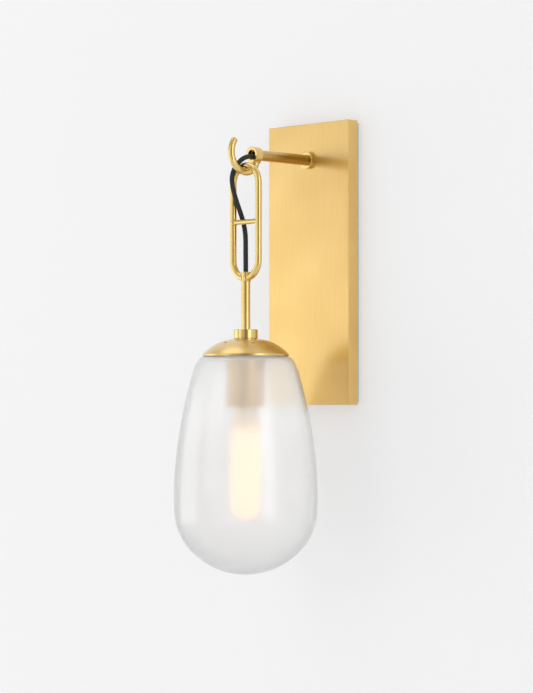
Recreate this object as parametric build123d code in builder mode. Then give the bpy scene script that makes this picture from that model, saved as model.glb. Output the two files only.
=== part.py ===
from build123d import *
from math import asin, cos, pi, radians, sin, sqrt, tan
import os

# Hanging pendant wall sconce: a brass plate on the wall, an arm that ends in a hook, and an
# egg-shaped glass shade that hangs from the hook by a long link.
# Millimetres. The wall is the plane y = 0 and the light stands out towards -Y.
# The origin is the middle of the junction-box screws, at the middle of the plate.

os.makedirs("parts", exist_ok=True)

# Driving dimensions

# Wall tray and plate cover
plate_width = 120.65
plate_height = 304.8
cover_depth = 13.5
cover_wall = 1.5
cover_edge = 0.5
reveal = 4.3
pan_wall = 1.5
pan_gap = 0.5
pan_rim = 12.0
pan_corner = 2.5
box_screw_spacing = 88.9
box_slot_length = 12.0
box_slot_width = 4.8
wire_hole = 34.0
ground_screw_drop = 32.0
ground_screw_size = 4.8
ground_head = 9.0
ground_head_height = 3.2
cover_screw_size = 4.0
cover_screw_length = 4.6
cover_screw_socket = 2.0
cover_screw_out = 9.0

# Arm
arm_drop = 39.8
arm_reach = 86.0
arm_diameter = 11.5
arm_bore = 8.5
arm_tail = 7.5
flange_diameter = 19.0
flange_thickness = 4.2
flange_edge = 0.7
end_collar_diameter = 17.2
end_collar_length = 9.5
end_collar_bore = 10.3
end_collar_lip = 4.0
end_collar_edge = 0.5
arm_nut_flats = 17.0
arm_nut_height = 4.5
washer_height = 1.0
nut_corner_share = 0.555
washer_margin = 4.0

# Hook
hook_wire = 7.0
hook_rise = 1.5
hook_radius = 21.0
hook_back_radius = 16.0
hook_tip_angle = 39.0
hook_edge = 0.4

# Link and stem
pendant_overhang = 8.5
hang_gap = 0.3
link_wire = 7.0
link_width = 45.0
link_height = 126.0
link_end_angle = 6.0
crossbar_diameter = 5.4
stem_diameter = 9.5
stem_bore = 6.5
stem_above_link = 10.0
stem_length = 60.8
stem_edge = 0.3
collar_diameter = 25.5
collar_height = 9.6
collar_edge = 0.5

# Dome cap
dome_radius = 45.65
dome_lip = 2.0
dome_crown_radius = 85.6
dome_shoulder_radius = 50.1
dome_crown_reach = 20.4
dome_seat_margin = 0.5
dome_wall = 1.0
vent_count = 6
vent_diameter = 4.0
vent_circle = 29.0
stem_nut_flats = 15.0
stem_nut_height = 4.6

# Glass shade. The arcs of its outline meet at these radii, at these depths below the
# dome's rim or heights above the glass's lowest point.
glass_height = 229.6
glass_wall = 3.0
bowl_radius = 58.3
bowl_height = 25.6
belly_radius = 75.2
belly_height = 66.0
waist_radius = 74.8
waist_height = 105.9
flank_radius = 56.45
flank_depth = 18.8
shoulder_radius = 50.8
shoulder_depth = 5.0
shoulder_crest = 43.5
neck_radius = 29.0
neck_height = 8.5
neck_root = 3.0

# Fitter ring
fitter_gap = 0.4
fitter_wall = 1.5
fitter_skirt = 7.0
fitter_vent = 4.4
fitter_vent_circle = 23.4
gasket_height = 1.0

# Socket cup and lampholder
cup_diameter = 40.5
cup_length = 63.6
cup_wall = 1.0
cup_corner = 2.5
socket_gap = 0.5
socket_hub = 16.0
socket_hub_height = 8.0
socket_recess = 1.5
shell_bore = 27.0
shell_wall = 0.5
contact_room = 2.4
contact_leaf = 0.5
contact_width = 6.0

# Bulb
bulb_diameter = 31.5
bulb_drop = 118.5
bulb_wall = 0.8
bulb_neck = 24.0
bulb_taper = 22.0
bulb_seal = 8.0
base_diameter = 26.2
base_length = 20.0
base_wall = 0.5
insulator_height = 3.0
tip_diameter = 9.5
tip_height = 1.6
mount_rod = 5.0
mount_length = 34.0
lead_wire = 1.2
filament_wire = 0.8
filament_width = 9.0
filament_length = 58.0

# Cord: the route of its free stretch, from inside the arm's mouth to inside the stem
cord_diameter = 5.2
cord_bend_share = 0.45
cord_tail = 3.0
cord_route = [
    (0.0, -98.1, 111.1),
    (0.0, -106.8, 111.1),
    (-3.1, -115.2, 107.6),
    (-7.2, -120.8, 99.2),
    (-10.9, -122.4, 89.6),
    (-12.4, -120.1, 79.6),
    (-12.5, -116.7, 69.6),
    (-12.0, -112.6, 59.6),
    (-11.2, -108.4, 49.6),
    (-9.6, -105.8, 39.6),
    (-6.9, -106.2, 29.6),
    (-3.9, -108.6, 19.6),
    (-1.5, -111.0, 9.6),
    (0.0, -112.3, -1.9),
    (0.0, -112.3, -13.2),
]

# Clearances
brazed = 0.05
threaded = 0.1
loose = 0.3

# Places
plate_face = reveal + cover_depth
cover_inside = plate_face - cover_wall
arm_z = plate_height / 2 - arm_drop
collar_front = plate_face + arm_reach
collar_back = collar_front - end_collar_length
arm_tip = collar_front - end_collar_lip
arm_end = cover_inside - arm_tail
pendant_out = collar_front + pendant_overhang

hook_center_z = arm_z + hook_rise
hook_low_z = hook_center_z - hook_radius

link_radius = (link_width - link_wire) / 2
link_top_z = hook_low_z + (hook_wire + link_wire) / 2 + hang_gap
link_upper_z = link_top_z - link_radius
link_bottom_z = link_top_z - (link_height - link_wire)
link_lower_z = link_bottom_z + link_radius
crossbar_z = (link_upper_z + link_lower_z) / 2

stem_top_z = link_bottom_z - link_wire / 2 + stem_above_link
collar_top_z = stem_top_z - stem_length
collar_z = collar_top_z - collar_height

# The dome's crown and shoulder arcs meet where both lie square to the same line.
crown_slope = asin(dome_crown_reach / dome_crown_radius)
shoulder_center_r = dome_crown_reach - dome_shoulder_radius * sin(crown_slope)
shoulder_center_h = dome_lip - sqrt(
    dome_shoulder_radius**2 - (dome_radius - shoulder_center_r) ** 2
)
crown_joint_h = shoulder_center_h + dome_shoulder_radius * cos(crown_slope)
crown_center_h = crown_joint_h - dome_crown_radius * cos(crown_slope)
dome_seat = collar_diameter / 2 + dome_seat_margin
dome_height = crown_center_h + sqrt(dome_crown_radius**2 - dome_seat**2)
rim_z = collar_z - dome_height

glass_top_z = rim_z - loose
glass_low_z = rim_z - glass_height
neck_top_z = glass_top_z + neck_height
gasket_z = neck_top_z + loose
fitter_z = gasket_z + gasket_height
fitter_top_z = fitter_z + fitter_wall
dome_washer_z = collar_z - dome_wall - washer_height
cup_top_z = fitter_z
cup_low_z = cup_top_z - cup_length
cup_washer_z = cup_top_z - cup_wall - washer_height
cup_nut_z = cup_washer_z - stem_nut_height
socket_top_z = cup_nut_z - socket_hub_height
socket_low_z = cup_low_z + socket_recess
stem_low_z = socket_top_z + brazed

bulb_low_z = cup_low_z - bulb_drop
base_low_z = cup_low_z
insulator_z = base_low_z + base_length
tip_z = insulator_z + insulator_height
tip_top_z = tip_z + tip_height
cavity_top_z = tip_top_z + contact_room

pendant_axis = Axis((0, -pendant_out, 0), (0, 0, 1))
pendant_profile = Plane(origin=(0, -pendant_out, 0), x_dir=(1, 0, 0), z_dir=(0, -1, 0))


def across(z):
    """A level plane on the pendant's axis, looking up."""
    return Plane(origin=(0, -pendant_out, z))


def outward(distance, z=0.0):
    """An upright plane at a distance from the wall, looking into the room."""
    return Plane(origin=(0, -distance, z), x_dir=(1, 0, 0), z_dir=(0, -1, 0))


def tube(plane, outer, bore, length):
    """A plain round tube or washer that stands on a plane."""
    with BuildPart() as piece:
        with BuildSketch(plane):
            Circle(outer / 2)
            Circle(bore / 2, mode=Mode.SUBTRACT)
        extrude(amount=length)
    return piece.part


def hex_nut(plane, flats, bore, height):
    """A hexagon nut with its corners rounded off at both faces."""
    with BuildPart() as piece:
        with BuildSketch(plane):
            RegularPolygon(flats / 2, 6, major_radius=False)
        extrude(amount=height)
        with BuildSketch(plane):
            Circle(flats * nut_corner_share)
        extrude(amount=height, mode=Mode.INTERSECT)
        with BuildSketch(plane):
            Circle(bore / 2)
        extrude(amount=height, mode=Mode.SUBTRACT)
    return piece.part


def save(piece, name):
    """Label a finished piece and write it."""
    piece.label = name
    export_step(piece, f"parts/{name}.step")


# Wall tray: its web lies on the wall and its rim points into the room
pan_width = plate_width - 2 * (cover_wall + pan_gap)
pan_height = plate_height - 2 * (cover_wall + pan_gap)
with BuildPart() as mounting_pan:
    with BuildSketch(outward(0)):
        RectangleRounded(pan_width, pan_height, pan_corner)
    extrude(amount=pan_rim)
    front = mounting_pan.faces().sort_by(Axis.Y)[0]
    offset(amount=-pan_wall, openings=front)
    with BuildSketch(outward(0)):
        Circle(wire_hole / 2)
        with GridLocations(box_screw_spacing, 0, 2, 1):
            SlotOverall(box_slot_length, box_slot_width)
        with Locations((0, -ground_screw_drop)):
            Circle(ground_screw_size / 2 + threaded)
    extrude(amount=pan_wall, mode=Mode.SUBTRACT)
    with BuildSketch(Plane((0, -cover_screw_out, 0))):
        Circle(cover_screw_size / 2 + threaded)
    extrude(amount=plate_height / 2, both=True, mode=Mode.SUBTRACT)
save(mounting_pan.part, "mounting_pan")

with BuildPart() as ground_screw:
    with BuildSketch(outward(0, -ground_screw_drop)):
        Circle(ground_screw_size / 2)
    extrude(amount=pan_wall)
    with BuildSketch(outward(pan_wall + brazed, -ground_screw_drop)):
        RegularPolygon(ground_head / 2, 6, major_radius=False)
    extrude(amount=ground_head_height)
    with BuildSketch(outward(pan_wall, -ground_screw_drop)):
        Circle(ground_screw_size / 2)
    extrude(amount=ground_head_height)
save(ground_screw.part, "ground_screw")

# Plate cover: an open-backed box that slides over the tray's rim
with BuildPart() as backplate_cover:
    with BuildSketch(outward(reveal)):
        Rectangle(plate_width, plate_height)
    extrude(amount=cover_depth)
    fillet(backplate_cover.edges().filter_by(Axis.Y), cover_edge)
    fillet(backplate_cover.faces().sort_by(Axis.Y)[0].edges(), cover_edge)
    with BuildSketch(outward(reveal)):
        Rectangle(plate_width - 2 * cover_wall, plate_height - 2 * cover_wall)
    extrude(amount=cover_depth - cover_wall, mode=Mode.SUBTRACT)
    with BuildSketch(outward(cover_inside, arm_z)):
        Circle(arm_diameter / 2 + threaded)
    extrude(amount=cover_wall, mode=Mode.SUBTRACT)
    with BuildSketch(Plane((0, -cover_screw_out, 0))):
        Circle(cover_screw_size / 2 + threaded)
    extrude(amount=plate_height / 2, both=True, mode=Mode.SUBTRACT)
save(backplate_cover.part, "backplate_cover")

# Two headless screws, through the cover's top and bottom edges into the tray's rim
with BuildPart() as cover_screws:
    with BuildSketch(Plane((0, -cover_screw_out, plate_height / 2 - cover_screw_length))):
        Circle(cover_screw_size / 2)
    extrude(amount=cover_screw_length - brazed)
    with BuildSketch(Plane((0, -cover_screw_out, plate_height / 2 - cover_screw_socket))):
        RegularPolygon(cover_screw_size / 4, 6)
    extrude(amount=cover_screw_socket, mode=Mode.SUBTRACT)
    mirror(about=Plane.XY)
save(cover_screws.part, "cover_screws")

# Arm
with BuildPart() as arm_flange:
    with BuildSketch(outward(plate_face, arm_z)):
        Circle(flange_diameter / 2)
        Circle(arm_diameter / 2 + brazed, mode=Mode.SUBTRACT)
    extrude(amount=flange_thickness)
    rim = arm_flange.faces().sort_by(Axis.Y)[0].edges().sort_by(SortBy.LENGTH)[-1]
    fillet(rim, flange_edge)
save(arm_flange.part, "arm_flange")

save(tube(outward(arm_end, arm_z), arm_diameter, arm_bore, arm_tip - arm_end), "arm_tube")

arm_washer_out = cover_inside - washer_height
save(
    tube(
        outward(arm_washer_out, arm_z),
        arm_diameter + 2 * washer_margin,
        arm_diameter + 2 * threaded,
        washer_height,
    ),
    "arm_washer",
)
save(
    hex_nut(
        outward(arm_washer_out - arm_nut_height, arm_z),
        arm_nut_flats,
        arm_diameter + 2 * threaded,
        arm_nut_height,
    ),
    "arm_nut",
)

with BuildPart() as end_collar:
    with BuildSketch(outward(collar_back, arm_z)):
        Circle(end_collar_diameter / 2)
        Circle(end_collar_bore / 2, mode=Mode.SUBTRACT)
    extrude(amount=end_collar_length)
    with BuildSketch(outward(collar_back, arm_z)):
        Circle(arm_diameter / 2 + brazed)
    extrude(amount=arm_tip - collar_back, mode=Mode.SUBTRACT)
    fillet(end_collar.faces().sort_by(Axis.Y)[0].edges(), end_collar_edge)
    back_rim = end_collar.faces().sort_by(Axis.Y)[-1].edges().sort_by(SortBy.LENGTH)[-1]
    fillet(back_rim, end_collar_edge)
save(end_collar.part, "end_collar")

# Hook: a wire in the plane x = 0, brazed under the collar, round below and open above
with BuildPart() as hook:
    with BuildLine(Plane.YZ) as hook_path:
        front_arc = CenterArc(
            (-pendant_out, hook_center_z),
            hook_radius,
            180 - hook_tip_angle,
            90 + hook_tip_angle,
        )
        CenterArc((-pendant_out, hook_low_z + hook_back_radius), hook_back_radius, 270, 90)
    with BuildSketch(Plane(front_arc @ 0, z_dir=front_arc % 0)):
        Circle(hook_wire / 2)
    sweep(path=hook_path.wires()[0])
    tip = hook.faces().filter_by(GeomType.PLANE).sort_by(Axis.Y)[0]
    fillet(tip.edges(), hook_edge)
    with BuildSketch(outward(collar_back - brazed, arm_z)):
        Circle(end_collar_diameter / 2 + brazed)
    extrude(amount=end_collar_length + 2 * brazed, mode=Mode.SUBTRACT)
    with BuildSketch(outward(plate_face, arm_z)):
        Circle(arm_diameter / 2 + brazed)
    extrude(amount=arm_tip - plate_face, mode=Mode.SUBTRACT)
save(hook.part, "hook")

# Link: one rod bent to a long loop, whose two ends are brazed to the stem's sides
with BuildPart() as link_rod:
    with BuildLine(pendant_profile) as link_path:
        first_bend = CenterArc(
            (0, link_lower_z), link_radius, link_end_angle - 90, 90 - link_end_angle
        )
        Line((link_radius, link_lower_z), (link_radius, link_upper_z))
        CenterArc((0, link_upper_z), link_radius, 0, 180)
        Line((-link_radius, link_upper_z), (-link_radius, link_lower_z))
        CenterArc((0, link_lower_z), link_radius, 180, 90 - link_end_angle)
    with BuildSketch(Plane(first_bend @ 0, z_dir=first_bend % 0)):
        Circle(link_wire / 2)
    sweep(path=link_path.wires()[0])
    with BuildSketch(across(link_bottom_z - link_wire)):
        Circle(stem_diameter / 2 + brazed)
    extrude(amount=2 * link_wire, mode=Mode.SUBTRACT)
save(link_rod.part, "link_rod")

with BuildPart() as link_crossbar:
    with BuildSketch(Plane(origin=(0, -pendant_out, crossbar_z), z_dir=(1, 0, 0))):
        Circle(crossbar_diameter / 2)
    extrude(amount=link_radius, both=True)
    for side in (-1, 1):
        with BuildSketch(
            Plane(origin=(side * link_radius, -pendant_out, crossbar_z - link_wire))
        ):
            Circle(link_wire / 2 + brazed)
        extrude(amount=2 * link_wire, mode=Mode.SUBTRACT)
save(link_crossbar.part, "link_crossbar")

with BuildPart() as stem_tube:
    with BuildSketch(across(stem_low_z)):
        Circle(stem_diameter / 2)
        Circle(stem_bore / 2, mode=Mode.SUBTRACT)
    extrude(amount=stem_top_z - stem_low_z)
    fillet(stem_tube.faces().sort_by(Axis.Z)[-1].edges(), stem_edge)
save(stem_tube.part, "stem_tube")

with BuildPart() as stem_collar:
    with BuildSketch(across(collar_z)):
        Circle(collar_diameter / 2)
        Circle(stem_diameter / 2 + threaded, mode=Mode.SUBTRACT)
    extrude(amount=collar_height)
    for face in (stem_collar.faces().sort_by(Axis.Z)[-1], stem_collar.faces().sort_by(Axis.Z)[0]):
        fillet(face.edges().sort_by(SortBy.LENGTH)[-1], collar_edge)
save(stem_collar.part, "stem_collar")

# Dome cap: a flat seat for the collar, the crown arc, the shoulder arc and a straight lip
with BuildPart() as dome_cap:
    with BuildSketch(pendant_profile):
        with BuildLine():
            seat = Line((0, collar_z), (dome_seat, collar_z))
            crown_joint = (dome_crown_reach, rim_z + crown_joint_h)
            crown = TangentArc(
                seat @ 1,
                crown_joint,
                tangent=(dome_height - crown_center_h, -dome_seat),
            )
            shoulder = TangentArc(
                crown @ 1, (dome_radius, rim_z + dome_lip), tangent=crown % 1
            )
            lip = Line(shoulder @ 1, (dome_radius, rim_z))
            Line(lip @ 1, (0, rim_z))
            Line((0, rim_z), (0, collar_z))
        make_face()
    revolve(axis=pendant_axis)
    offset(amount=-dome_wall, openings=dome_cap.faces().sort_by(Axis.Z)[0])
    with BuildSketch(across(rim_z)):
        Circle(stem_diameter / 2 + threaded)
        with PolarLocations(vent_circle, vent_count, start_angle=-90):
            Circle(vent_diameter / 2)
    extrude(amount=dome_height, mode=Mode.SUBTRACT)
save(dome_cap.part, "dome_cap")

stem_clear = stem_diameter + 2 * threaded
stem_washer = stem_diameter + 2 * washer_margin
save(tube(across(dome_washer_z), stem_washer, stem_clear, washer_height), "dome_washer")
dome_nut_height = dome_washer_z - fitter_top_z
save(hex_nut(across(fitter_top_z), stem_nut_flats, stem_clear, dome_nut_height), "dome_nut")

# Fitter ring: a web under the dome's nut and a skirt that the glass neck turns into
with BuildPart() as fitter_ring:
    skirt_bore = neck_radius + fitter_gap
    with BuildSketch(across(fitter_z - fitter_skirt)):
        Circle(skirt_bore + fitter_wall)
    extrude(amount=fitter_skirt + fitter_wall)
    fillet(fitter_ring.faces().sort_by(Axis.Z)[-1].edges(), fitter_wall)
    with BuildSketch(across(fitter_z - fitter_skirt)):
        Circle(skirt_bore)
    extrude(amount=fitter_skirt, mode=Mode.SUBTRACT)
    with BuildSketch(across(fitter_z)):
        Circle(stem_clear / 2)
        with PolarLocations(fitter_vent_circle, vent_count, start_angle=-90):
            Circle(fitter_vent / 2)
    extrude(amount=fitter_wall, mode=Mode.SUBTRACT)
save(fitter_ring.part, "fitter_ring")

neck_bore = 2 * (neck_radius - glass_wall)
save(tube(across(gasket_z), 2 * neck_radius, neck_bore, gasket_height), "neck_gasket")

# Socket cup, with its clamping washer and nut inside
with BuildPart() as socket_cup:
    with BuildSketch(across(cup_low_z)):
        Circle(cup_diameter / 2)
    extrude(amount=cup_length)
    fillet(socket_cup.faces().sort_by(Axis.Z)[-1].edges(), cup_corner)
    offset(amount=-cup_wall, openings=socket_cup.faces().sort_by(Axis.Z)[0])
    with BuildSketch(across(cup_low_z)):
        Circle(stem_clear / 2)
    extrude(amount=cup_length, mode=Mode.SUBTRACT)
save(socket_cup.part, "socket_cup")

save(tube(across(cup_washer_z), stem_washer, stem_clear, washer_height), "cup_washer")
save(hex_nut(across(cup_nut_z), stem_nut_flats, stem_clear, stem_nut_height), "cup_nut")

# Lampholder: a moulded body with a hub for the stem, its screw shell and its spring leaf
with BuildPart() as lamp_socket:
    socket_radius = cup_diameter / 2 - cup_wall - socket_gap
    with BuildSketch(across(socket_low_z)):
        Circle(socket_radius)
    extrude(amount=socket_top_z - socket_low_z)
    fillet(lamp_socket.faces().sort_by(Axis.Z)[-1].edges(), cup_corner)
    with BuildSketch(across(socket_top_z)):
        Circle(socket_hub / 2)
        Circle(stem_clear / 2, mode=Mode.SUBTRACT)
    extrude(amount=socket_hub_height)
    with BuildSketch(across(socket_low_z)):
        Circle(shell_bore / 2 + shell_wall + threaded)
    extrude(amount=cavity_top_z - socket_low_z, mode=Mode.SUBTRACT)
save(lamp_socket.part, "lamp_socket")

shell_height = insulator_z - socket_low_z
save(
    tube(across(socket_low_z), shell_bore + 2 * shell_wall, shell_bore, shell_height),
    "socket_shell",
)

with BuildPart() as socket_contact:
    leaf_low = tip_top_z + loose
    leaf_start = -tip_diameter
    leaf_bend = leaf_start / 2
    leaf_end = tip_diameter / 3
    with BuildSketch(pendant_profile):
        with BuildLine():
            Polyline(
                (leaf_start, cavity_top_z),
                (leaf_bend, cavity_top_z),
                (0, leaf_low + contact_leaf),
                (leaf_end, leaf_low + contact_leaf),
                (leaf_end, leaf_low),
                (-contact_leaf, leaf_low),
                (leaf_bend - contact_leaf, cavity_top_z - contact_leaf),
                (leaf_start, cavity_top_z - contact_leaf),
                (leaf_start, cavity_top_z),
            )
        make_face()
    extrude(amount=contact_width / 2, both=True)
save(socket_contact.part, "socket_contact")

# Glass shade: a chain of tangent arcs from the lowest point up to the hidden neck
with BuildPart() as glass_shade:
    with BuildSketch(pendant_profile):
        with BuildLine():
            bottom = (0, glass_low_z)
            bowl = TangentArc(bottom, (bowl_radius, glass_low_z + bowl_height), tangent=(1, 0))
            belly = TangentArc(
                bowl @ 1, (belly_radius, glass_low_z + belly_height), tangent=bowl % 1
            )
            waist = TangentArc(
                belly @ 1, (waist_radius, glass_low_z + waist_height), tangent=belly % 1
            )
            flank = TangentArc(
                waist @ 1, (flank_radius, rim_z - flank_depth), tangent=waist % 1
            )
            upper = TangentArc(
                flank @ 1, (shoulder_radius, rim_z - shoulder_depth), tangent=flank % 1
            )
            crest = TangentArc(upper @ 1, (shoulder_crest, glass_top_z), tangent=upper % 1)
            root = (neck_radius + neck_root, glass_top_z)
            Line(crest @ 1, root)
            RadiusArc(root, (neck_radius, glass_top_z + neck_root), neck_root)
            Line((neck_radius, glass_top_z + neck_root), (neck_radius, neck_top_z))
            Line((neck_radius, neck_top_z), (0, neck_top_z))
            Line((0, neck_top_z), bottom)
        make_face()
    revolve(axis=pendant_axis)
    offset(amount=-glass_wall, openings=glass_shade.faces().sort_by(Axis.Z)[-1])
save(glass_shade.part, "glass_shade")

# Bulb: a tubular envelope, its mount and filament, and its screw base
with BuildPart() as bulb_glass:
    bulb_radius = bulb_diameter / 2
    with BuildSketch(pendant_profile):
        with BuildLine():
            seal = (bulb_neck / 2, base_low_z + bulb_seal)
            Line((0, base_low_z + bulb_seal), seal)
            throat = Line(seal, (bulb_neck / 2, base_low_z))
            swell = Spline(
                throat @ 1,
                (bulb_radius, base_low_z - bulb_taper),
                tangents=((0, -1), (0, -1)),
            )
            wall = Line(swell @ 1, (bulb_radius, bulb_low_z + bulb_radius))
            TangentArc(wall @ 1, (0, bulb_low_z), tangent=(0, -1))
            Line((0, bulb_low_z), (0, base_low_z + bulb_seal))
        make_face()
    revolve(axis=pendant_axis)
    offset(amount=-bulb_wall, openings=bulb_glass.faces().sort_by(Axis.Z)[-1])
save(bulb_glass.part, "bulb_glass")

with BuildPart() as bulb_base:
    with BuildSketch(across(base_low_z)):
        Circle(base_diameter / 2)
    extrude(amount=base_length)
    offset(amount=-base_wall, openings=bulb_base.faces().sort_by(Axis.Z)[0])
    with BuildSketch(across(base_low_z)):
        Circle(tip_diameter / 2)
    extrude(amount=base_length, mode=Mode.SUBTRACT)
save(bulb_base.part, "bulb_base")

with BuildPart() as bulb_insulator:
    with BuildSketch(across(insulator_z)):
        Circle(base_diameter / 2 - base_wall)
    with BuildSketch(across(tip_z)):
        Circle(tip_diameter / 2 + base_wall)
    loft()
save(bulb_insulator.part, "bulb_insulator")

with BuildPart() as bulb_tip:
    with BuildSketch(across(tip_z)):
        Circle(tip_diameter / 2)
    extrude(amount=tip_height)
    fillet(bulb_tip.faces().sort_by(Axis.Z)[-1].edges(), tip_height / 2)
save(bulb_tip.part, "bulb_tip")

# Mount: the glass flare that seals the neck, its rod and the two lead wires
mount_top_z = base_low_z + bulb_seal
mount_low_z = mount_top_z - mount_length
filament_top_z = mount_low_z - 2 * lead_wire
filament_low_z = filament_top_z - filament_length
with BuildPart() as bulb_mount:
    with BuildSketch(across(mount_top_z - bulb_wall)):
        Circle(bulb_neck / 2 - bulb_wall - brazed)
    extrude(amount=bulb_wall)
    with BuildSketch(across(mount_low_z)):
        Circle(mount_rod / 2)
    extrude(amount=mount_length)
    with BuildSketch(across(filament_top_z)):
        with Locations((-filament_width / 2, 0), (filament_width / 2, 0)):
            Circle(lead_wire / 2)
    extrude(amount=mount_top_z - filament_top_z)
    with BuildSketch(across(mount_low_z)):
        Rectangle(filament_width, lead_wire)
    extrude(amount=lead_wire)
save(bulb_mount.part, "bulb_mount")

with BuildPart() as bulb_filament:
    turn_radius = filament_width / 2
    turn_z = filament_low_z + turn_radius
    with BuildLine(pendant_profile) as filament_path:
        down = Line((-turn_radius, filament_top_z), (-turn_radius, turn_z))
        CenterArc((0, turn_z), turn_radius, 180, 180)
        Line((turn_radius, turn_z), (turn_radius, filament_top_z))
    with BuildSketch(Plane(down @ 0, z_dir=down % 0)):
        Circle(filament_wire / 2)
    sweep(path=filament_path.wires()[0])
save(bulb_filament.part, "bulb_filament")

# Cord: inside the arm, free from the arm's mouth to the stem, and inside the stem
cord_start = Vector(*cord_route[0])
cord_finish = Vector(*cord_route[-1])
with BuildPart() as arm_cord:
    with BuildSketch(outward(arm_end - cord_tail, cord_start.Z)):
        Circle(cord_diameter / 2)
    extrude(amount=-cord_start.Y - arm_end + cord_tail)
save(arm_cord.part, "arm_cord")

with BuildPart() as stem_cord:
    with BuildSketch(across(stem_low_z)):
        Circle(cord_diameter / 2)
    extrude(amount=cord_finish.Z - stem_low_z)
save(stem_cord.part, "stem_cord")

route = [Vector(*point) for point in cord_route]
bend_radii = []
for before, corner, after in zip(route, route[1:], route[2:]):
    turn = radians((corner - before).get_angle(after - corner))
    shorter = min((corner - before).length, (after - corner).length)
    bend_radii.append(cord_bend_share * shorter / tan(turn / 2))
print("cord radii, mm:", [round(radius, 1) for radius in bend_radii])

with BuildPart() as hanging_cord:
    with BuildLine() as cord_path:
        FilletPolyline(*route, radius=bend_radii)
    cord_wire = cord_path.wires()[0]
    with BuildSketch(Plane(cord_wire @ 0, z_dir=cord_wire % 0)):
        Circle(cord_diameter / 2)
    sweep(path=cord_wire)
save(hanging_cord.part, "hanging_cord")

cord_area = pi * (cord_diameter / 2) ** 2
print("cord length, mm:", round(cord_wire.length, 2))
print("cord volume over section times length:", hanging_cord.part.volume / cord_area / cord_wire.length)
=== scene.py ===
from math import atan2, cos, pi, radians, sin

import bmesh
import bpy
import numpy as np
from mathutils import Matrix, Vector


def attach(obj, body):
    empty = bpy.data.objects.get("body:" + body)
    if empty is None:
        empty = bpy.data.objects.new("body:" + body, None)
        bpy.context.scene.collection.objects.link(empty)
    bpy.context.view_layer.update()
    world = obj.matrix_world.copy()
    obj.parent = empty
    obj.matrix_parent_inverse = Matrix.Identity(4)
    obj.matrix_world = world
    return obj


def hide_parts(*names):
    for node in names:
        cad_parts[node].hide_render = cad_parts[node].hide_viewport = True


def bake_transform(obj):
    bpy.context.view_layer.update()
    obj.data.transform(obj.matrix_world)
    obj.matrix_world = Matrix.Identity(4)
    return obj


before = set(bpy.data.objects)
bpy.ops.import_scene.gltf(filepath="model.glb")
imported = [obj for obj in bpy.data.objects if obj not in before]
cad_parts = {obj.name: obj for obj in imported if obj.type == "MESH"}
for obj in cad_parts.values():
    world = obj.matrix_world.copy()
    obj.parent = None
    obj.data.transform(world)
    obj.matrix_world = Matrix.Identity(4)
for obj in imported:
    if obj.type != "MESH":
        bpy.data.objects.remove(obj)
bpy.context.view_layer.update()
mm = 0.001

# Places and sizes that several pieces share, in mm. The pendant hangs on one upright axis, and the arm stands out of
# the wall. The arm's end and its collar's are distances from the wall.
places = {
    "pendantOut": 112.3,
    "armHeight": 112.6,
    "armRadius": 5.75,
    "armEnd": 99.8,
    "collarRadius": 8.6,
    "collarBack": 94.3,
    "collarFront": 103.8,
    "stemRadius": 4.75,
    "stemTop": -12.1,
    "cupLow": -155.12,
}
print("frame loaded")


# sRGB hex to linear: each channel over 255, then the 2.4 power curve with its straight toe.
def linear(hexText):
    channels = [int(hexText[i:i + 2], 16) / 255 for i in (1, 3, 5)]
    return tuple(c / 12.92 if c <= 0.04045 else ((c + 0.055) / 1.055) ** 2.4 for c in channels) + (1.0,)


# Adds a node: settings are its properties, and inputs are plain values or sockets to link.
def addNode(tree, kind, inputs=None, **settings):
    node = tree.nodes.new(kind)
    for key, value in settings.items():
        setattr(node, key, value)
    for key, value in (inputs or {}).items():
        if isinstance(value, bpy.types.NodeSocket):
            tree.links.new(value, node.inputs[key])
        else:
            node.inputs[key].default_value = value
    return node


def newMaterial(name):
    material = bpy.data.materials.new(name)
    material.use_nodes = True
    material.node_tree.nodes.clear()
    return material, material.node_tree


# Points nearer than this many metres are one, and a fold steeper than this shows as an edge.
sameSpot = 2e-7
sharpAngle = radians(45)


# A mesh from a grid of points (rows, columns, 3) in mm, with a quad in each cell. Lines that close join their last to
# their first, and a line whose points all meet becomes a pole. extras are numbers kept at each point by name.
def gridPiece(name, points, closeRows=False, extras=None):
    rows, columns = points.shape[:2]
    index = np.arange(rows * columns).reshape(rows, columns)
    index = np.hstack([index, index[:, :1]])
    if closeRows:
        index = np.vstack([index, index[:1]])
    quads = np.stack([index[:-1, :-1], index[:-1, 1:], index[1:, 1:], index[1:, :-1]], -1).reshape(-1, 4)
    mesh = bpy.data.meshes.new(name)
    mesh.from_pydata((points.reshape(-1, 3) * mm).tolist(), [], quads.tolist())
    for key, values in (extras or {}).items():
        mesh.attributes.new(key, "FLOAT", "POINT").data.foreach_set("value", values.astype(np.float32).ravel())
    edit = bmesh.new()
    edit.from_mesh(mesh)
    bmesh.ops.remove_doubles(edit, verts=edit.verts, dist=sameSpot)
    bmesh.ops.recalc_face_normals(edit, faces=edit.faces)
    edit.to_mesh(mesh)
    edit.free()
    mesh.shade_smooth()
    mesh.set_sharp_from_angle(angle=sharpAngle)
    piece = bpy.data.objects.new(name, mesh)
    bpy.context.scene.collection.objects.link(piece)
    return piece


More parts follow.
